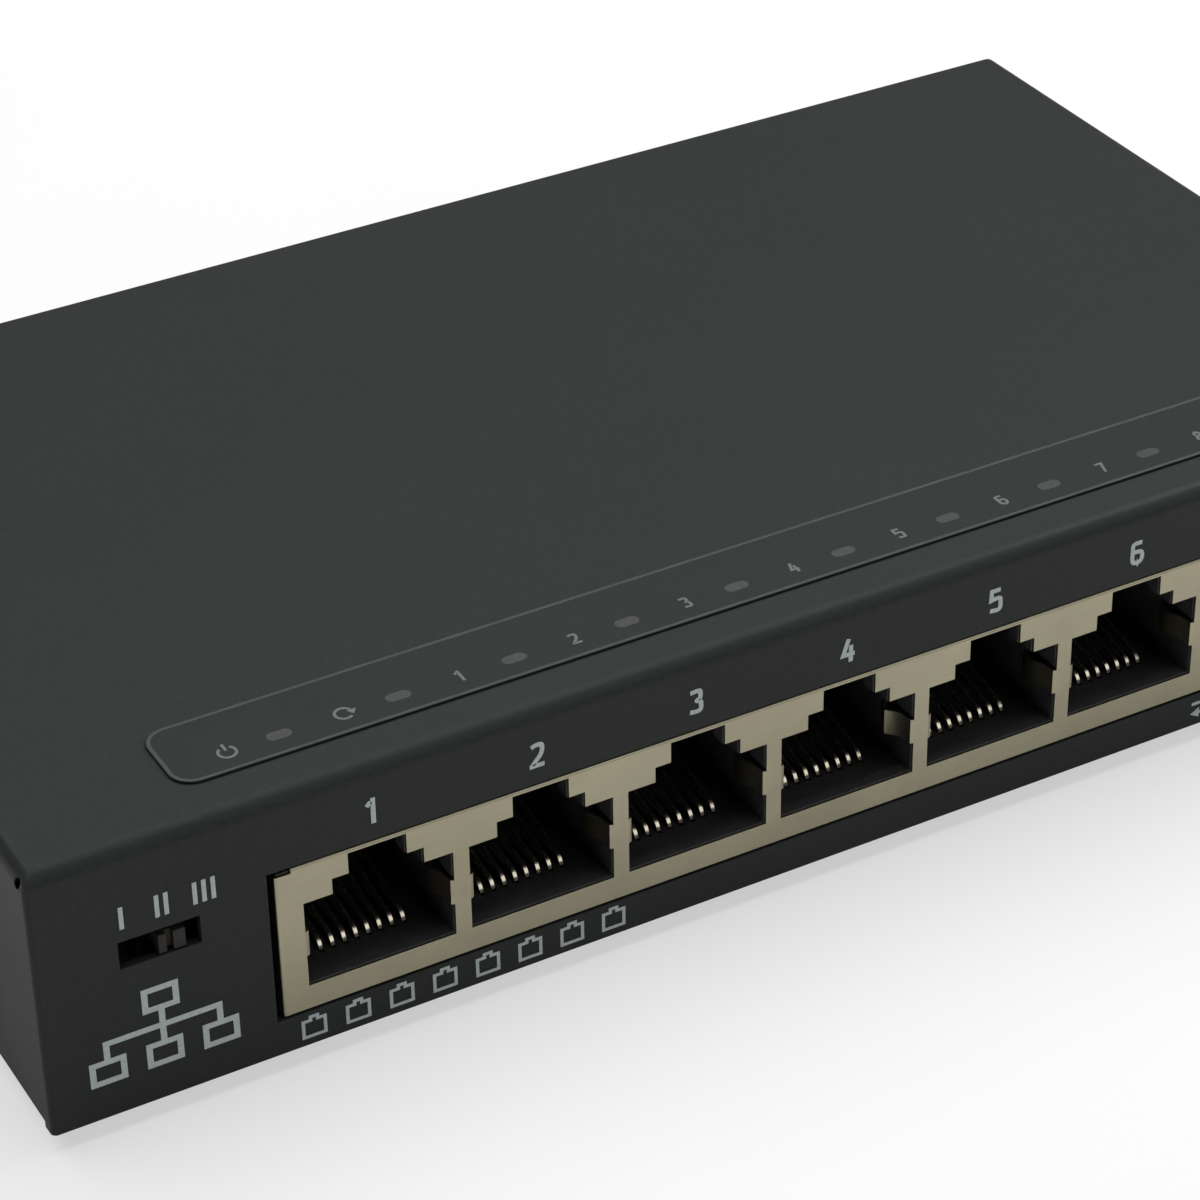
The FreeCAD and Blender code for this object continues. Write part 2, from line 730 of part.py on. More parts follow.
def mode_switch_shell():
    """Folded metal cover over the front, top and ends of the slide switch."""
    front = selector_body_front
    outer = box(selector_body_left - foil, selector_body_right + foil, front - foil, selector_body_back,
                10.4, selector_body_top + foil)
    inner = box(selector_body_left, selector_body_right, front, selector_body_back + 1,
                10, selector_body_top)
    window = box(selector_body_left + 1.2, selector_body_right - 0.6, front - 1, front + 1,
                 slider_bottom + 0.4, slider_top - 0.3)
    return cut(outer.cut(inner), [window])


def mode_switch_knob():
    """The slider and its small ridged thumb piece, which stands in the front panel's window."""
    carrier = box(selector_x - slider_half, selector_x + slider_half, 2.55, 4.3, slider_bottom, slider_top)
    knob = box(selector_x - knob_half, selector_x + knob_half, knob_front, 2.6, knob_bottom, knob_top)
    groove = box(selector_x - 0.42, selector_x + 0.1, knob_front - 1, knob_front + 0.5, 13, 16)
    return cut(fuse([carrier, knob]), [groove])


def mode_switch_wiper():
    """The spring strip on the slider's back, whose two bumps bridge a pair of terminals."""
    strip = box(selector_x - 1.6, selector_x + 1.6, 4.3, 4.5, 13.0, 15.0)
    bumps = []
    for side in (-1, 1):
        x = selector_x + side * selector_step / 2
        bumps.append(rod(0.35, (x, 4.55, 13.2), (x, 4.55, 14.8)).cut(box(0, 30, 3, 4.3, 10, 20)))
    return fuse([strip] + bumps)


def mode_switch_terminals():
    return Part.makeCompound([box(x - 0.4, x + 0.4, 5.0, 5.3, tail_end_z, 15.0)
                              for x in terminal_places()])


# ---------------------------------------------------------------- power inlet

def dc_jack_housing():
    """Moulded block of the power inlet, with a round bore that faces the back."""
    back_wall = inlet_face - inlet_length
    half, top = 4.5, inlet_z + 4.6
    block = box(inlet_x - half, inlet_x + half, back_wall, inlet_face, board_top, top)
    edges = [e for e in block.Edges if e.CenterOfMass.z > top - 1e-6]
    block = block.makeChamfer(0.6, [e for e in edges if abs(e.CenterOfMass.x - inlet_x) > half - 1e-6])
    bore = rod(inlet_bore, (inlet_x, inlet_face - inlet_bore_depth, inlet_z),
               (inlet_x, inlet_face + 1, inlet_z))
    pin_hole = rod(inlet_shoulder + 0.02, (inlet_x, back_wall - 1, inlet_z),
                   (inlet_x, inlet_face, inlet_z))
    spring_slot = box(inlet_x - 1.4, inlet_x + 1.4, 69.5, 75.0, board_top - 1, inlet_z - 2)
    return cut(block, [bore, pin_hole, spring_slot])


def dc_jack_centre_pin():
    """The round centre pin, riveted to the strip that runs down behind the block."""
    back_wall = inlet_face - inlet_length
    tip = inlet_face - 0.5
    bore_end = inlet_face - inlet_bore_depth
    pin = rod(inlet_pin, (inlet_x, back_wall, inlet_z), (inlet_x, tip, inlet_z))
    pin = round_edges(pin, 0.5, lambda m, e: m.y > tip - 1e-6)
    shoulder = rod(inlet_shoulder, (inlet_x, back_wall - 0.3, inlet_z), (inlet_x, bore_end, inlet_z))
    strip = box(inlet_x - 0.9, inlet_x + 0.9, back_wall - 0.3, back_wall, board_top, inlet_z + 2)
    tail = box(inlet_x - 0.6, inlet_x + 0.6, back_wall - 0.3, back_wall, tail_end_z, board_top)
    return fuse([pin, shoulder, strip, tail])


def dc_jack_spring_contact():
    """The bent leaf that presses on the plug's sleeve from below."""
    run = [(69.9, tail_end_z), (69.9, 5.2), (72.6, inlet_z - 2.85), (74.4, inlet_z - 3.6)]
    return prism_along_x(strip_outline(run, -0.3), inlet_x - 1.1, inlet_x + 1.1)


# ---------------------------------------------------------------- write every piece

def build():
    os.makedirs("parts", exist_ok=True)
    save("top_cover", top_cover())
    save("base_pan", base_pan())
    save("board_standoffs", board_standoffs())
    save("board_screws", board_screws())
    save("cover_screws", cover_screws())
    right, back = case_width - foot_inset, case_depth - foot_inset
    save("foot_front_left", rubber_foot(foot_inset, foot_inset))
    save("foot_front_right", rubber_foot(right, foot_inset))
    save("foot_rear_left", rubber_foot(foot_inset, back))
    save("foot_rear_right", rubber_foot(right, back))
    save("indicator_label", indicator_label())
    save("indicator_windows", indicator_windows())
    save("jack_housing", jack_housing())
    save("jack_front_shield", jack_front_shield())
    save("jack_rear_shield", jack_rear_shield())
    for port in range(port_count):
        save("contact_insert_%d" % (port + 1), contact_insert(port))
        save("contact_set_%d" % (port + 1), contact_set(port))
    save("main_board", main_board())
    save("indicator_leds", indicator_leds())
    save("light_guide", light_guide())
    for number in range(port_count // 2):
        save("magnetics_%d" % (number + 1), magnetics(number))
    save("switch_chip", switch_chip())
    save("thermal_pad", thermal_pad())
    save("heat_sink", heat_sink())
    save("memory_chip", memory_chip())
    save("crystal", crystal())
    save("voltage_regulator", voltage_regulator())
    save("power_inductor", power_inductor())
    save("filter_capacitors", filter_capacitors())
    save("small_components", small_components())
    save("mode_switch_base", mode_switch_base())
    save("mode_switch_shell", mode_switch_shell())
    save("mode_switch_knob", mode_switch_knob())
    save("mode_switch_wiper", mode_switch_wiper())
    save("mode_switch_terminals", mode_switch_terminals())
    save("dc_jack_housing", dc_jack_housing())
    save("dc_jack_centre_pin", dc_jack_centre_pin())
    save("dc_jack_spring_contact", dc_jack_spring_contact())


build()
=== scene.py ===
import json
import math

import bmesh
import bpy
from mathutils import Matrix, Vector


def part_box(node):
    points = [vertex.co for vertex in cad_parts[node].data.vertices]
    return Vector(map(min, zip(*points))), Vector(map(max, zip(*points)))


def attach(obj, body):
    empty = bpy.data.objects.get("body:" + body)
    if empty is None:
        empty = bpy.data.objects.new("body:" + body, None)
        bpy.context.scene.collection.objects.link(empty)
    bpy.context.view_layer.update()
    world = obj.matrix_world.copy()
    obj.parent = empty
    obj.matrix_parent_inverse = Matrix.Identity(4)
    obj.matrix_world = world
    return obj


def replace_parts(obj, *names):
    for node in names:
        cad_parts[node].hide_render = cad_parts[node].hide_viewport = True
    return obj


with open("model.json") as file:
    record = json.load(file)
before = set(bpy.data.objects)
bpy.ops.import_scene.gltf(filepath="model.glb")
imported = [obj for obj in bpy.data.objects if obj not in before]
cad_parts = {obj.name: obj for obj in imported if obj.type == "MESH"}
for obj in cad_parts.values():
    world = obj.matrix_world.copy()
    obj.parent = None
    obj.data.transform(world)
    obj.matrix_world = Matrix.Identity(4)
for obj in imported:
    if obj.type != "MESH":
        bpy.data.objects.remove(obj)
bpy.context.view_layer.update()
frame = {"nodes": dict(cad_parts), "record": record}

# Looks of the desktop network switch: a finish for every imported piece, softened copies of the
# pieces that show their edges, the printed marks, and a plain studio. Lengths are in metres, with
# X to the right along the row of ports, Y to the back and Z up.

MM = 0.001
UM = 0.000001


# ---------------------------------------------------------------- sizes and places

case_low, case_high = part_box("top_cover")
front_y = case_low.y
shield_front_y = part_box("jack_front_shield")[0].y

port_count = 8
port_x = [sum(corner.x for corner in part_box("contact_insert_%d" % (i + 1))) / 2
          for i in range(port_count)]

label_low, label_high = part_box("indicator_label")
label_top = label_high.z

indicator_count = 10
window_length = 2.08 * MM
window_low, window_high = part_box("indicator_windows")
window_y = (window_low.y + window_high.y) / 2
window_pitch = (window_high.x - window_low.x - window_length) / (indicator_count - 1)
window_x = [window_low.x + window_length / 2 + window_pitch * i for i in range(indicator_count)]

ink_thickness = 24 * UM
ink_lift = ink_thickness / 3            # from the surface to the middle of the ink

weld_distance = 1 * UM
flat_angle = math.radians(0.5)          # facets that turn less than this are one flat
hard_angle = math.radians(35)           # edges that turn more than this are rolled over
crease_angle = math.radians(50)         # and those that still turn more than this stay creased


# ---------------------------------------------------------------- node materials

class Finish:
    """A node material with one Principled shader, built up a texture at a time."""

    def __init__(self, name, colour, roughness, metallic=0.0, specular=0.5):
        self.material = bpy.data.materials.new(name)
        self.material.use_nodes = True
        self.nodes = self.material.node_tree.nodes
        self.links = self.material.node_tree.links
        self.shader = self.nodes["Principled BSDF"]
        self.shader.inputs["Metallic"].default_value = metallic
        self.shader.inputs["Specular IOR Level"].default_value = specular
        self.shader.inputs["Roughness"].default_value = roughness
        self.roughness = roughness
        self.place = self.nodes.new("ShaderNodeTexCoord").outputs["Object"]
        base = self.nodes.new("ShaderNodeRGB")
        base.outputs[0].default_value = (*colour, 1.0)
        self.colour = base.outputs[0]
        self.normal = None

    def noise(self, size, detail=2.0, stretch=(1, 1, 1)):
        """Blotches about `size` across, and longer along an axis whose stretch is smaller."""
        mapping = self.nodes.new("ShaderNodeMapping")
        mapping.inputs["Scale"].default_value = stretch
        self.links.new(self.place, mapping.inputs["Vector"])
        texture = self.nodes.new("ShaderNodeTexNoise")
        texture.inputs["Scale"].default_value = 1.0 / size
        texture.inputs["Detail"].default_value = detail
        texture.inputs["Roughness"].default_value = 0.55
        self.links.new(mapping.outputs[0], texture.inputs["Vector"])
        return texture.outputs["Fac"]

    def cells(self, size):
        """Distance from the middles of cells about `size` across."""
        texture = self.nodes.new("ShaderNodeTexVoronoi")
        texture.inputs["Scale"].default_value = 1.0 / size
        self.links.new(self.place, texture.inputs["Vector"])
        return texture.outputs["Distance"]

    def spread(self, factor, low, high, start=0.3, end=0.7):
        """Maps a factor from start..end to low..high."""
        node = self.nodes.new("ShaderNodeMapRange")
        node.inputs["From Min"].default_value = start
        node.inputs["From Max"].default_value = end
        node.inputs["To Min"].default_value = low
        node.inputs["To Max"].default_value = high
        self.links.new(factor, node.inputs["Value"])
        return node.outputs["Result"]

    def shade(self, factor, low, high):
        """Multiplies the colour by low..high."""
        node = self.nodes.new("ShaderNodeMix")
        node.data_type = "RGBA"
        node.blend_type = "MULTIPLY"
        node.inputs["Factor"].default_value = 1.0
        self.links.new(self.colour, node.inputs["A"])
        self.links.new(self.spread(factor, low, high), node.inputs["B"])
        self.colour = node.outputs["Result"]

    def stain(self, factor, colour, start, end, strength):
        """Mixes another colour in: none of it below start, and `strength` of it from end up."""
        node = self.nodes.new("ShaderNodeMix")
        node.data_type = "RGBA"
        share = self.spread(factor, 0.0, strength, start, end)
        self.links.new(share, node.inputs["Factor"])
        self.links.new(self.colour, node.inputs["A"])
        node.inputs["B"].default_value = (*colour, 1.0)
        self.colour = node.outputs["Result"]

    def gloss(self, factor, give):
        """Lets the roughness vary by `give` either way."""
        varied = self.spread(factor, self.roughness - give, self.roughness + give)
        self.links.new(varied, self.shader.inputs["Roughness"])

    def bump(self, factor, height, strength):
        """Raises the surface by up to `height`, on top of any coarser bumps."""
        node = self.nodes.new("ShaderNodeBump")
        node.inputs["Strength"].default_value = strength
        node.inputs["Distance"].default_value = height
        self.links.new(factor, node.inputs["Height"])
        if self.normal is not None:
            self.links.new(self.normal, node.inputs["Normal"])
        self.normal = node.outputs["Normal"]

    def done(self):
        self.links.new(self.colour, self.shader.inputs["Base Color"])
        if self.normal is not None:
            self.links.new(self.normal, self.shader.inputs["Normal"])
        return self.material


def case_paint():
    """Fine powder coat: dark grey, satin, with a soft orange-peel skin."""
    f = Finish("case_paint", (0.0226, 0.0258, 0.0240), 0.45, specular=0.14)
    f.shade(f.noise(22 * MM, 3.0), 0.975, 1.025)
    f.shade(f.noise(0.35 * MM, 2.0), 0.90, 1.10)
    f.gloss(f.noise(6 * MM, 3.0), 0.01)
    f.bump(f.noise(1.1 * MM, 2.0), 14 * UM, 0.55)
    f.bump(f.noise(0.22 * MM, 2.0), 7 * UM, 0.5)
    return f.done()


def foot_rubber():
    f = Finish("foot_rubber", (0.014, 0.014, 0.0145), 0.8, specular=0.3)
    f.shade(f.noise(3 * MM), 0.8, 1.25)
    f.gloss(f.noise(1 * MM), 0.1)
    f.bump(f.noise(0.15 * MM, 3.0), 12 * UM, 0.6)
    return f.done()


def label_film():
    """Printed polyester overlay, a little cooler and smoother than the paint round it."""
    f = Finish("label_film", (0.0205, 0.0243, 0.0232), 0.42, specular=0.14)
    f.shade(f.noise(15 * MM, 2.0), 0.975, 1.025)
    f.shade(f.noise(0.18 * MM, 1.0), 0.93, 1.07)
    f.gloss(f.noise(2.5 * MM), 0.02)
    f.bump(f.noise(0.16 * MM, 1.0), 3 * UM, 0.5)
    return f.done()


def window_film():
    f = Finish("window_film", (0.045, 0.049, 0.046), 0.36, specular=0.3)
    f.shade(f.noise(0.5 * MM), 0.85, 1.15)
    f.gloss(f.noise(0.3 * MM), 0.06)
    f.bump(f.noise(0.12 * MM), 3 * UM, 0.5)
    return f.done()


def port_plastic():
    """Black moulded plastic with a spark-eroded surface."""
    f = Finish("port_plastic", (0.036, 0.036, 0.037), 0.475, specular=0.4)
    f.shade(f.noise(1.5 * MM), 0.8, 1.2)
    f.gloss(f.noise(0.6 * MM), 0.075)
    f.bump(f.noise(0.09 * MM, 3.0), 6 * UM, 0.6)
    return f.done()


def shield_plate():
    """Warm nickel plate over rolled sheet, satin, with faint rolling lines along the row."""
    f = Finish("shield_plate", (0.365, 0.335, 0.242), 0.32, metallic=1.0)
    f.shade(f.noise(7 * MM, 3.0), 0.94, 1.05)
    f.shade(f.noise(0.12 * MM, 2.0, (0.04, 1, 1)), 0.97, 1.025)
    f.stain(f.noise(2.6 * MM, 4.0), (0.305, 0.272, 0.188), 0.52, 0.78, 0.3)
    f.gloss(f.noise(0.2 * MM, 2.0, (0.06, 1, 1)), 0.04)
    f.bump(f.noise(0.1 * MM, 2.0, (0.05, 1, 1)), 1.2 * UM, 0.4)
    return f.done()


def contact_gold():
    f = Finish("contact_gold", (0.80, 0.73, 0.58), 0.24, metallic=1.0)
    f.shade(f.noise(0.8 * MM), 0.92, 1.06)
    f.gloss(f.noise(0.2 * MM), 0.04)
    f.bump(f.noise(0.08 * MM), 1.5 * UM, 0.4)
    return f.done()


def board_laminate():
    """Green solder mask with the faint lines of tracks under it."""
    f = Finish("board_laminate", (0.011, 0.062, 0.030), 0.36)
    tracks = f.noise(0.5 * MM, 0.0, (0.12, 1, 1))
    f.stain(tracks, (0.02, 0.10, 0.045), 0.5, 0.53, 0.8)
    f.shade(f.noise(4 * MM), 0.85, 1.15)
    f.gloss(f.noise(1 * MM), 0.06)
    f.bump(tracks, 18 * UM, 0.4)
    return f.done()


def zinc_steel():
    f = Finish("zinc_steel", (0.56, 0.57, 0.58), 0.36, metallic=1.0)
    f.shade(f.noise(0.9 * MM, 3.0), 0.82, 1.08)
    f.gloss(f.noise(0.35 * MM), 0.1)
    f.bump(f.noise(0.12 * MM, 2.0), 3 * UM, 0.5)
    return f.done()


def black_steel():
    """Black oxide screws, worn a little brighter on their high spots."""
    f = Finish("black_steel", (0.022, 0.022, 0.023), 0.43, metallic=0.6)
    f.stain(f.noise(0.5 * MM, 3.0), (0.09, 0.088, 0.085), 0.6, 0.78, 0.6)
    f.gloss(f.noise(0.3 * MM), 0.09)
    f.bump(f.noise(0.1 * MM), 3 * UM, 0.5)
    return f.done()


def clear_acrylic():
    f = Finish("clear_acrylic", (0.86, 0.91, 0.92), 0.14)
    f.shader.inputs["Transmission Weight"].default_value = 0.9
    f.shader.inputs["IOR"].default_value = 1.49
    f.shade(f.noise(3 * MM), 0.96, 1.0)
    f.gloss(f.noise(0.8 * MM), 0.06)
    f.bump(f.noise(0.6 * MM), 3 * UM, 0.4)
    return f.done()


def lamp_white():
    f = Finish("lamp_white", (0.72, 0.70, 0.58), 0.375)
    f.stain(f.cells(0.5 * MM), (0.80, 0.62, 0.16), 0.0, 0.5, 0.5)
    f.gloss(f.noise(0.3 * MM), 0.075)
    f.bump(f.noise(0.1 * MM), 3 * UM, 0.4)
    return f.done()


def chip_black():
    f = Finish("chip_black", (0.018, 0.018, 0.019), 0.6)
    f.shade(f.noise(0.25 * MM, 3.0), 0.75, 1.3)
    f.gloss(f.noise(0.5 * MM), 0.1)
    f.bump(f.noise(0.08 * MM, 3.0), 6 * UM, 0.6)
    return f.done()


def bare_aluminium():
    f = Finish("bare_aluminium", (0.70, 0.71, 0.72), 0.39, metallic=1.0)
    f.shade(f.noise(0.25 * MM, 2.0, (1, 0.04, 1)), 0.86, 1.06)
    f.gloss(f.noise(0.3 * MM, 2.0, (1, 0.05, 1)), 0.09)
    f.bump(f.noise(0.14 * MM, 2.0, (1, 0.04, 1)), 4 * UM, 0.5)
    return f.done()


def pad_grey():
    f = Finish("pad_grey", (0.33, 0.38, 0.43), 0.75, specular=0.3)
    f.shade(f.noise(0.5 * MM, 3.0), 0.85, 1.12)
    f.gloss(f.noise(1 * MM), 0.1)
    f.bump(f.noise(0.2 * MM), 8 * UM, 0.5)
    return f.done()


def can_metal():
    f = Finish("can_metal", (0.60, 0.60, 0.59), 0.31, metallic=1.0)
    f.shade(f.noise(0.4 * MM, 2.0, (1, 1, 0.08)), 0.88, 1.06)
    f.gloss(f.noise(0.5 * MM), 0.09)
    f.bump(f.noise(0.2 * MM, 2.0, (1, 1, 0.08)), 3 * UM, 0.4)
    return f.done()


def ferrite_grey():
    f = Finish("ferrite_grey", (0.075, 0.075, 0.08), 0.65)
    f.shade(f.noise(0.3 * MM, 4.0), 0.7, 1.3)
    f.gloss(f.noise(0.5 * MM), 0.1)
    f.bump(f.noise(0.12 * MM, 3.0), 10 * UM, 0.6)
    return f.done()


def ceramic_tan():
    f = Finish("ceramic_tan", (0.36, 0.26, 0.15), 0.51)
    f.shade(f.noise(0.4 * MM, 3.0), 0.75, 1.15)
    f.gloss(f.noise(0.4 * MM), 0.09)
    f.bump(f.noise(0.1 * MM, 2.0), 5 * UM, 0.5)
    return f.done()


def knob_plastic():
    """Dark brown-grey moulding, polished a little where a nail has pushed it."""
    f = Finish("knob_plastic", (0.026, 0.0235, 0.0205), 0.49, specular=0.2)
    f.shade(f.noise(0.5 * MM, 3.0), 0.8, 1.2)
    f.gloss(f.noise(0.4 * MM), 0.09)
    f.bump(f.noise(0.08 * MM, 2.0), 5 * UM, 0.6)
    return f.done()


def label_edge_highlight():
    """The overlay's rim, coloured a little paler than its face as a painted highlight along the
    raised edge.
    """
    f = Finish("label_edge_highlight", (0.052, 0.057, 0.053), 0.45, specular=0.25)
    f.shade(f.noise(2 * MM), 0.88, 1.12)
    f.gloss(f.noise(0.8 * MM), 0.05)
    f.bump(f.noise(0.12 * MM), 2 * UM, 0.4)
    return f.done()


def screened_ink(name, colour, grain):
    """Screen-printed grey ink, very slightly uneven in cover."""
    f = Finish(name, colour, 0.6, specular=0.3)
    f.shade(f.noise(0.3 * MM, 3.0), 0.88, 1.08)
    f.gloss(f.noise(0.4 * MM), 0.08)
    f.bump(f.noise(0.09 * MM, 2.0), grain, 0.5)
    return f.done()


def printed_ink():
    return screened_ink("printed_ink", (0.46, 0.51, 0.515), 3 * UM)


def printed_ink_dim():
    """The finer print on the overlay, thinner and greyer than that on the front."""
    return screened_ink("printed_ink_dim", (0.135, 0.148, 0.143), 2 * UM)


finishes = {build.__name__: build() for build in (
    case_paint, foot_rubber, label_film, window_film, port_plastic, shield_plate, contact_gold,
    board_laminate, zinc_steel, black_steel, clear_acrylic, lamp_white, chip_black,
    bare_aluminium, pad_grey, can_metal, ferrite_grey, ceramic_tan, knob_plastic, label_edge_highlight,
    printed_ink, printed_ink_dim)}
node_slot = {part["node"]: part["material_slot"] for part in frame["record"]["subparts"]}


def finish_nodes():
    """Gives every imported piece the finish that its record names."""
    for name, node in frame["nodes"].items():
        for place in node.material_slots:
            place.material = finishes[node_slot[name]]


# ---------------------------------------------------------------- pieces

def piece(name, mesh, finish, body="switch"):
    """A new piece with one finish, which rides on a body."""
    made = bpy.data.objects.new(name, mesh)
    bpy.context.scene.collection.objects.link(made)
    made.data.materials.clear()
    made.data.materials.append(finishes[finish])
    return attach(made, body)


def softened(node, radius, steps=2, body="switch", chosen=None):
    """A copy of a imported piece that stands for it, with its hard edges rolled over.

    Where `chosen` is given, only the edges whose two ends it accepts are rolled.
    """
    work = bmesh.new()
    work.from_mesh(frame["nodes"][node].data)
    bmesh.ops.remove_doubles(work, verts=work.verts, dist=weld_distance)
    bmesh.ops.dissolve_limit(work, angle_limit=flat_angle, verts=work.verts, edges=work.edges)
    hard = [e for e in work.edges if len(e.link_faces) == 2
            and e.calc_face_angle(0) > hard_angle
            and (chosen is None or all(chosen(v.co) for v in e.verts))]
    bmesh.ops.bevel(work, geom=hard, offset=radius, offset_type="OFFSET", segments=steps,
                    profile=0.5, affect="EDGES", clamp_overlap=False, loop_slide=True)
    for face in work.faces:
        face.smooth = True
    for edge in work.edges:
        edge.smooth = edge.calc_face_angle(0) < crease_angle
    mesh = bpy.data.meshes.new(node + "_soft")
    work.to_mesh(mesh)
    work.free()
    made = piece(node + "_soft", mesh, node_slot[node], body)
    weighted = made.modifiers.new("weighted", "WEIGHTED_NORMAL")
    weighted.keep_sharp = True
    weighted.weight = 80
    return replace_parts(made, node)


def is_on_panel(point):
    """True away from the cover's lower and back rims, whose cut edges stay crisp."""
    lower_rim, back_rim = 1.6 * MM, 1 * MM
    return point.z > case_low.z + lower_rim and point.y < case_high.y - back_rim


def is_on_label_edge(point):
    """True on the overlay's outline, away from its windows."""
    ends, window_band = 3 * MM, 0.8 * MM
    beside = point.x < label_low.x + ends or point.x > label_high.x - ends
    return beside or abs(point.y - window_y) > window_band


def is_on_shield_front(point):
    """True on the foremost face of the shield and the edges of its openings."""
    margin = 0.02 * MM
    return point.y < shield_front_y + margin


def is_on_moulding_front(point):
    """True on the face of the moulding, which is just behind the shield."""
    behind_shield = 0.4 * MM
    return point.y < shield_front_y + behind_shield


def soften_edges():
    """Rolls over the edges that show from outside."""
    softened("top_cover", 0.06 * MM, chosen=is_on_panel)
    softened("indicator_label", 0.08 * MM, steps=3, chosen=is_on_label_edge)
    softened("jack_front_shield", 0.04 * MM, chosen=is_on_shield_front)
    softened("jack_housing", 0.07 * MM, chosen=is_on_moulding_front)
    softened("mode_switch_knob", 0.1 * MM, steps=3, body="mode_slider")


def label_rim():
    """The overlay's embossed edge: a low round bead all along its outline."""
    inset, corner_radius, corner_steps = 0.22 * MM, 1.78 * MM, 8
    half_width, height, sunk, facets = 0.18 * MM, 0.045 * MM, 0.01 * MM, 6
    line = []
    for x, y, start in ((label_high.x, label_high.y, 0), (label_low.x, label_high.y, 90),
                        (label_low.x, label_low.y, 180), (label_high.x, label_low.y, 270)):
        outward = Vector((math.copysign(1, x), math.copysign(1, y - window_y)))
        corner = Vector((x, y)) - outward * (corner_radius + inset)
        for k in range(corner_steps + 1):
            turn = math.radians(start + 90 * k / corner_steps)
            way = Vector((math.cos(turn), math.sin(turn)))
            line.append((corner + way * corner_radius, way))
    bead = bmesh.new()
    rows = []
    for point, way in line:
        row = []
        for k in range(facets + 1):
            turn = math.pi * k / facets
            spot = point + way * half_width * math.cos(turn)
            z = label_top - sunk + height * math.sin(turn)
            row.append(bead.verts.new((spot.x, spot.y, z)))
        rows.append(row)
    for a, b in zip(rows, rows[1:] + rows[:1]):
        for k in range(facets):
            bead.faces.new((a[k], b[k], b[k + 1], a[k + 1])).smooth = True
        bead.faces.new((a[facets], b[facets], b[0], a[0]))
    bmesh.ops.recalc_face_normals(bead, faces=bead.faces)
    mesh = bpy.data.meshes.new("label_rim")
    bead.to_mesh(mesh)
    bead.free()
    # The bead's paler finish is a painted highlight along the overlay's raised edge.
    piece("label_rim", mesh, "label_edge_highlight")


# ---------------------------------------------------------------- flat shapes

def flat_shape(name, outlines):
    """A thin layer of ink from closed outlines of (u, v) points, where an inner one is a hole."""
    curve = bpy.data.curves.new(name, "CURVE")
    curve.dimensions = "2D"
    curve.fill_mode = "BOTH"
    curve.extrude = ink_thickness / 2
    for points in outlines:
        line = curve.splines.new("POLY")
        line.points.add(len(points) - 1)
        for place, (u, v) in zip(line.points, points):
            place.co = (u, v, 0, 1)
        line.use_cyclic_u = True
    return curve


def eased(points, radius, closed):
    """The run of (x, y, share) points with its corners rounded, each by its share of the radius."""
    steps = 5
    count = len(points)
    made = []
    for i, (x, y, share) in enumerate(points):
        here = Vector((x, y))
        if share == 0 or (not closed and i in (0, count - 1)):
            made.append((x, y))
            continue
        before = Vector(points[i - 1][:2]) - here
        after = Vector(points[(i + 1) % count][:2]) - here
        reach = min(radius * share, before.length / 2, after.length / 2)
        start = here + before.normalized() * reach
        end = here + after.normalized() * reach
        for k in range(steps + 1):
            t = k / steps
            made.append(tuple(start * (1 - t) ** 2 + here * 2 * t * (1 - t) + end * t * t))
    return made


def ribbon(points, width, closed=False):
    """The outline, or two outlines if closed, of a stroke of even width along the points."""
    least_miter = 0.45                  # keeps the outer corner of a sharp turn from shooting out
    count = len(points)
    left, right = [], []
    for i, point in enumerate(points):
        here = Vector(point)
        runs = []
        if closed or i > 0:
            runs.append((here - Vector(points[i - 1])).normalized())
        if closed or i < count - 1:
            runs.append((Vector(points[(i + 1) % count]) - here).normalized())
        ahead = (runs[0] + runs[-1]).normalized()
        side = Vector((-ahead.y, ahead.x)) * width / 2 / max(ahead.dot(runs[0]), least_miter)
        left.append(tuple(here + side))
        right.append(tuple(here - side))
    return [left, right] if closed else [left + right[::-1]]


# Shares of a numeral's height.
numeral_width = 0.60
numeral_stroke = 0.172
numeral_rounding = 0.26

# Each numeral is a list of strokes in a box one unit wide and one high: the points with how round
# each corner is, and whether the stroke closes on itself. Strokes meet edge to edge.
numeral_strokes = {
    "1": [([(0.60, 1.11, 0), (0.60, -0.11, 0)], False),
          ([(0.06, 0.76, 0), (0.42, 0.95, 0)], False)],
    "2": [([(0.0, 0.92, 0), (0.35, 1.0, 1), (0.96, 1.0, 1), (0.96, 0.55, 0.8),
            (0.10, 0.07, 0)], False),
          ([(-0.16, 0.0, 0), (1.14, 0.0, 0)], False)],
    "3": [([(0.02, 0.97, 0), (0.4, 1.0, 1), (0.94, 1.0, 1), (0.94, 0.6, 0.8), (0.52, 0.53, 0.3),
            (1.0, 0.46, 0.8), (1.0, 0.0, 1), (0.4, 0.0, 1), (0.0, 0.04, 0)], False)],
    "4": [([(0.52, 1.05, 0), (0.0, 0.28, 0), (1.10, 0.28, 0)], False),
          ([(0.74, 0.72, 0), (0.74, 0.395, 0)], False),
          ([(0.74, 0.165, 0), (0.74, -0.1, 0)], False)],
    "5": [([(0.95, 1.0, 0), (0.10, 1.0, 0), (0.06, 0.55, 0), (0.5, 0.60, 1), (1.0, 0.58, 1),
            (1.0, 0.0, 1), (0.4, 0.0, 1), (0.0, 0.04, 0)], False)],
    "6": [([(0.0, 0.0, 1), (1.0, 0.0, 1), (1.0, 0.56, 1), (0.0, 0.56, 0)], True),
          ([(0.90, 0.99, 0), (0.45, 1.0, 1), (0.0, 0.98, 1), (0.0, 0.674, 0)], False)],
    "7": [([(0.0, 1.0, 0), (1.0, 1.0, 0), (0.38, -0.08, 0)], False)],
    "8": [([(0.0, 0.0, 1), (1.0, 0.0, 1), (1.0, 0.50, 1), (0.0, 0.50, 1)], True),
          ([(0.16, 0.58, 0), (0.10, 1.0, 1), (0.90, 1.0, 1), (0.84, 0.58, 0)], False)],
}


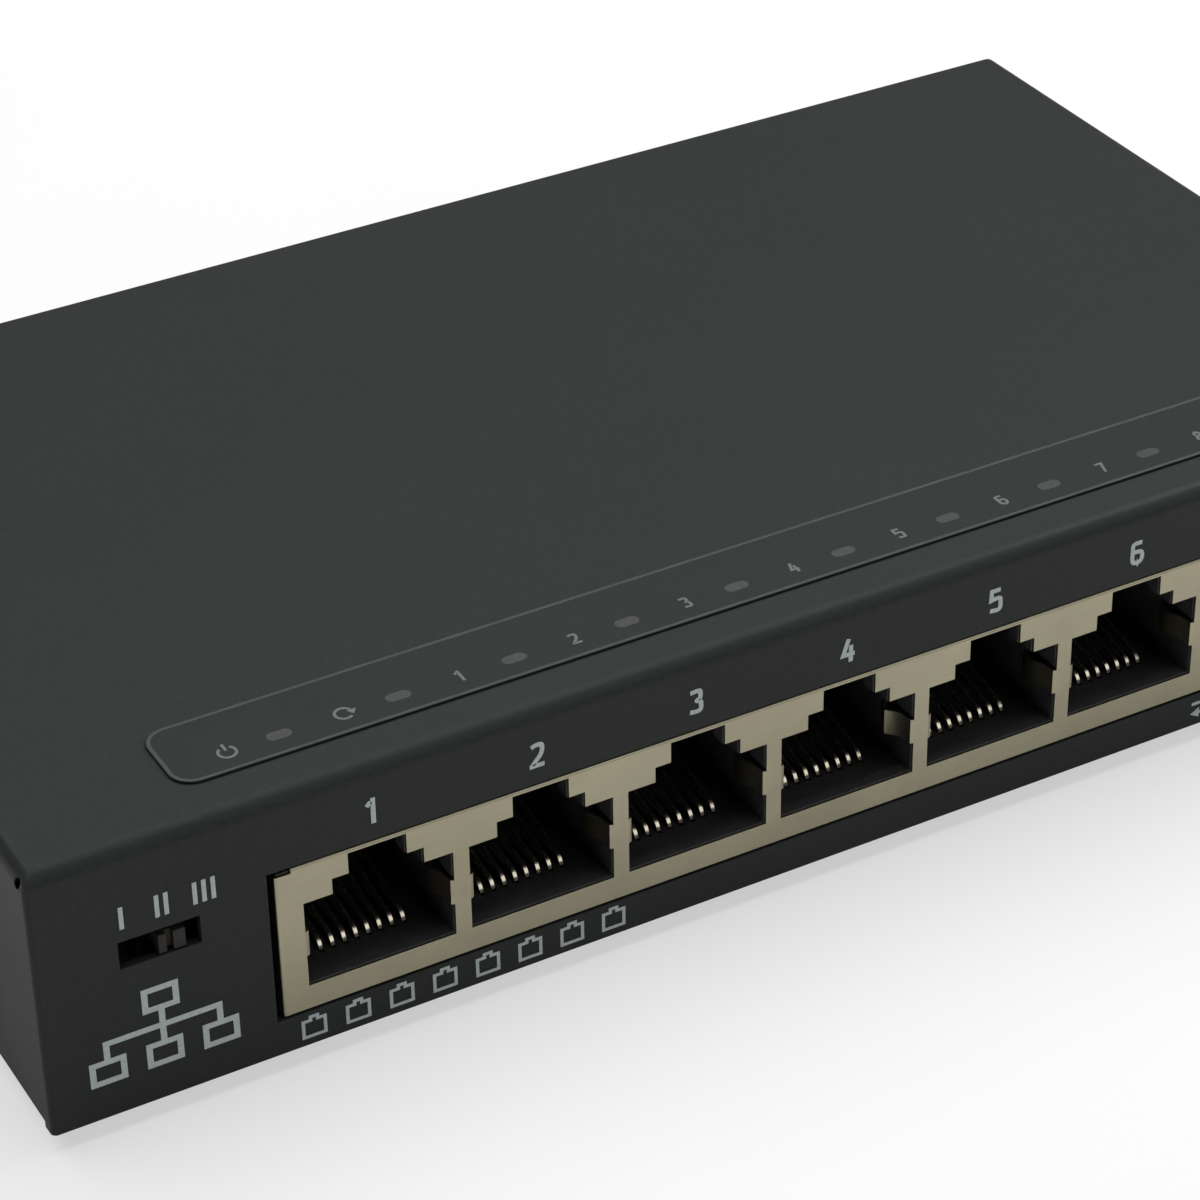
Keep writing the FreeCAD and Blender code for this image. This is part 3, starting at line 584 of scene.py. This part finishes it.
def numeral_outlines(text, height):
    """Outlines of one numeral, centred on its own middle, with strokes of even width."""
    stroke = height * numeral_stroke
    wide, high = height * numeral_width - stroke, height - stroke
    outlines = []
    for points, closed in numeral_strokes[text]:
        placed = [((x - 0.5) * wide, (y - 0.5) * high, share) for x, y, share in points]
        rounded = eased(placed, height * numeral_rounding, closed)
        outlines.append(ribbon(rounded, stroke, closed))
    return outlines


def as_mesh(name, groups):
    """One mesh from several flat shapes, each a list of outlines."""
    joined = bmesh.new()
    for outlines in groups:
        holder = bpy.data.objects.new("holder", flat_shape(name, outlines))
        bpy.context.scene.collection.objects.link(holder)
        bpy.context.view_layer.update()
        shown = holder.evaluated_get(bpy.context.evaluated_depsgraph_get())
        mesh = bpy.data.meshes.new_from_object(shown)
        joined.from_mesh(mesh)
        bpy.data.objects.remove(holder)
        bpy.data.meshes.remove(mesh)
    bmesh.ops.remove_doubles(joined, verts=joined.verts, dist=weld_distance / 2)
    made = bpy.data.meshes.new(name)
    joined.to_mesh(made)
    joined.free()
    return made


def print_on_front(name, groups, x, z):
    """Puts flat shapes on the case's front, with u to the right and v up."""
    mesh = as_mesh(name, groups)
    upright = Matrix(((1, 0, 0, 0), (0, 0, -1, 0), (0, 1, 0, 0), (0, 0, 0, 1)))
    mesh.transform(Matrix.Translation((x, front_y - ink_lift, z)) @ upright)
    piece(name, mesh, "printed_ink")


def print_on_label(name, groups, x, y):
    """Puts flat shapes on the overlay, with u to the right and v to the back."""
    mesh = as_mesh(name, groups)
    mesh.transform(Matrix.Translation((x, y, label_top + ink_lift)))
    piece(name, mesh, "printed_ink_dim")


def rectangle(u, v, width, height):
    a, b = width / 2, height / 2
    return [(u - a, v - b), (u + a, v - b), (u + a, v + b), (u - a, v + b)]


def arc(radius, start, end):
    """Points along a circle about the middle, between two angles in degrees."""
    steps = 28
    turns = [math.radians(start + (end - start) * i / steps) for i in range(steps + 1)]
    return [(radius * math.cos(t), radius * math.sin(t)) for t in turns]


# ---------------------------------------------------------------- printed marks

sign_ring_radius = 0.70 * MM
sign_line = 0.24 * MM
lower_line_z = case_low.z + 1.72 * MM   # the line of print under the ports


def print_port_numbers():
    """A numeral over each port, a little to the left of its middle."""
    height, rise, shift = 2.3 * MM, 19.85 * MM, -0.3 * MM
    for i, x in enumerate(port_x):
        groups = numeral_outlines(str(i + 1), height)
        print_on_front("print_port_%d" % (i + 1), groups, x + shift, case_low.z + rise)


def print_indicator_numbers():
    """A numeral to the left of each port's indicator, which are all but the first two."""
    height, shift = 1.45 * MM, -4.7 * MM
    for i, x in enumerate(window_x[2:]):
        groups = numeral_outlines(str(i + 1), height)
        print_on_label("print_indicator_%d" % (i + 1), groups, x + shift, window_y)


def print_power_sign():
    """A broken ring with a stroke through the gap."""
    r = sign_ring_radius
    ring = ribbon(arc(r, 125, 415), sign_line)
    stroke = rectangle(0, r * 0.95, sign_line, r * 1.25)
    x, y = window_x[0] - 4.3 * MM, window_y - 0.1 * MM
    print_on_label("print_power_sign", [ring, [stroke]], x, y)


def print_loop_sign():
    """An open ring that ends in an arrowhead."""
    r = sign_ring_radius
    ring = ribbon(arc(r, 22, 310), sign_line)
    head = [(r * 0.42, r * 0.34), (r * 1.62, r * 0.34), (r * 1.02, -r * 0.55)]
    print_on_label("print_loop_sign", [ring, [head]], window_x[1] - 4.6 * MM, window_y)


def print_selector_marks():
    """One, two and three bars over the slider's three places."""
    width, height, pitch, rise = 0.36 * MM, 2.0 * MM, 0.74 * MM, 17.8 * MM
    for count, along in enumerate((7.1 * MM, 10.3 * MM, 13.7 * MM), 1):
        spots = [(i - (count - 1) / 2) * pitch for i in range(count)]
        groups = [[rectangle(u, 0, width, height)] for u in spots]
        x, z = case_low.x + along, case_low.z + rise
        print_on_front("print_selector_%d" % count, groups, x, z)


def print_network_sign():
    """Three small boxes wired to one above them."""
    wide, high, line = 3.0 * MM, 2.3 * MM, 0.5 * MM
    reach, rise = 4.6 * MM, 2.6 * MM
    stub = rise - high / 2 - line / 2
    groups = [[rectangle(0, 0, 2 * reach + line, line)],
              [rectangle(0, (line + stub) / 2, line, stub)]]
    for u, v in ((0, rise), (-reach, -rise), (0, -rise), (reach, -rise)):
        box = rectangle(u, v, wide, high)
        inside = rectangle(u, v, wide - 2 * line, high - 2 * line)
        groups.append([box, inside])
    for u in (-reach, 0, reach):
        groups.append([rectangle(u, -(line + stub) / 2, line, stub)])
    x, z = case_low.x + 9.5 * MM, case_low.z + 6.9 * MM
    print_on_front("print_network_sign", groups, x, z)


def socket_sign(u, size):
    """The outline of one little socket with its latch notch, u along the row."""
    side, shoulder, notch, line = size * 0.5, size * 0.32, size * 0.16, size * 0.15
    points = [(-side, -side), (side, -side), (side, shoulder), (notch, shoulder),
              (notch, side), (-notch, side), (-notch, shoulder), (-side, shoulder)]
    return ribbon([(u + x, y) for x, y in points], line, True)


def print_port_row_sign():
    """A row of eight little sockets under the first ports, standing for the row of ports itself."""
    size, pitch = 1.85 * MM, 3.75 * MM
    groups = [socket_sign((i - (port_count - 1) / 2) * pitch, size) for i in range(port_count)]
    print_on_front("print_port_row", groups, case_low.x + 34.8 * MM, lower_line_z)


def print_link_sign():
    """Two opposite arrows under the last ports."""
    shaft_middle, shaft_length, line, rise = 0.4 * MM, 2.4 * MM, 0.3 * MM, 0.5 * MM
    head_back, head_tip, head_half = 0.8 * MM, 1.7 * MM, 0.5 * MM
    groups = []
    for way in (-1, 1):
        v = way * rise
        back, tip = way * head_back, way * head_tip
        groups.append([rectangle(-way * shaft_middle, v, shaft_length, line)])
        groups.append([[(back, v - head_half), (tip, v), (back, v + head_half)]])
    print_on_front("print_link_sign", groups, case_low.x + 106.0 * MM, lower_line_z)


# ---------------------------------------------------------------- studio

lit_point = Vector((0, 0, 12 * MM))     # the middle of the case, which every light faces


def soft_box(name, place, width, height, watts):
    """A rectangular light that faces the object."""
    light = bpy.data.lights.new(name, "AREA")
    light.shape = "RECTANGLE"
    light.size = width
    light.size_y = height
    light.energy = watts
    holder = bpy.data.objects.new(name, light)
    bpy.context.scene.collection.objects.link(holder)
    holder.location = place
    holder.rotation_mode = "QUATERNION"
    holder.rotation_quaternion = (lit_point - Vector(place)).to_track_quat("-Z", "Y")


def lit_from_below(f, share):
    """Lightens the shadows on a white surface, as a lit table would, but not the object."""
    glow = f.nodes.new("ShaderNodeEmission")
    mixed = f.nodes.new("ShaderNodeMixShader")
    seen = f.nodes.new("ShaderNodeLightPath").outputs["Is Camera Ray"]
    f.links.new(f.spread(seen, 0.0, share, start=0.0, end=1.0), mixed.inputs["Fac"])
    f.links.new(f.shader.outputs["BSDF"], mixed.inputs[1])
    f.links.new(glow.outputs["Emission"], mixed.inputs[2])
    f.links.new(mixed.outputs["Shader"], f.nodes["Material Output"].inputs["Surface"])


def backdrop():
    """A white surround that lights the object only faintly."""
    world = bpy.data.worlds.new("studio")
    bpy.context.scene.world = world
    world.use_nodes = True
    sky = world.node_tree.nodes["Background"]
    sky.inputs["Color"].default_value = (0.98, 0.99, 1.0, 1.0)
    path = world.node_tree.nodes.new("ShaderNodeLightPath")
    level = world.node_tree.nodes.new("ShaderNodeMapRange")
    level.inputs["To Min"].default_value = 0.03
    level.inputs["To Max"].default_value = 0.95
    world.node_tree.links.new(path.outputs["Is Camera Ray"], level.inputs["Value"])
    world.node_tree.links.new(level.outputs["Result"], sky.inputs["Strength"])


def lights():
    """A large light overhead, a fainter one off the front right corner and a small one beside."""
    soft_box("overhead", (0.0, 0.45, 1.5), width=2.4, height=2.2, watts=33.0)
    soft_box("front", (0.65, -1.15, 0.85), width=1.6, height=1.1, watts=5.0)
    soft_box("right", (1.0, 0.2, 0.6), width=0.7, height=0.7, watts=7.5)


def paper_floor():
    """A wide sheet of white paper under the feet."""
    half = 1.7
    corners = [(-half, -half, 0), (half, -half, 0), (half, half, 0), (-half, half, 0)]
    floor_mesh = bpy.data.meshes.new("floor")
    floor_mesh.from_pydata(corners, [], [(0, 1, 2, 3)])
    floor = bpy.data.objects.new("floor", floor_mesh)
    bpy.context.scene.collection.objects.link(floor)
    f = Finish("floor_paper", (0.86, 0.86, 0.85), 0.9, specular=0.1)
    f.shade(f.noise(60 * MM, 2.0), 0.985, 1.0)
    f.bump(f.noise(0.6 * MM, 2.0), 4 * UM, 0.2)
    lit_from_below(f, share=0.55)
    floor_mesh.materials.append(f.done())


def view_camera():
    """A long lens off the front left corner that looks down along the row of ports."""
    place = Vector((-135.161, -247.489, 190.51)) * MM
    heading, tilt, roll = (math.radians(angle) for angle in (28.722, 33.312, -1.04))
    forward = math.cos(tilt)
    ahead = Vector((math.sin(heading) * forward, math.cos(heading) * forward, -math.sin(tilt)))
    level = Vector((math.cos(heading), -math.sin(heading), 0))
    upward = level.cross(ahead)
    right = math.cos(roll) * level + math.sin(roll) * upward
    up = math.cos(roll) * upward - math.sin(roll) * level
    camera = bpy.data.cameras.new("camera")
    camera.sensor_width = 36.0
    camera.lens = 114.54
    camera.clip_start = 0.01
    camera.clip_end = 20.0
    holder = bpy.data.objects.new("camera", camera)
    bpy.context.scene.collection.objects.link(holder)
    turned = Matrix((right, up, -ahead)).transposed().to_4x4()
    holder.matrix_world = Matrix.Translation(place) @ turned
    bpy.context.scene.camera = holder
    bpy.context.scene.view_settings.view_transform = "Standard"


# ---------------------------------------------------------------- the whole scene

finish_nodes()
soften_edges()
print_port_numbers()
print_indicator_numbers()
print_power_sign()
print_loop_sign()
print_selector_marks()
print_network_sign()
print_port_row_sign()
print_link_sign()
label_rim()
backdrop()
lights()
paper_floor()
view_camera()
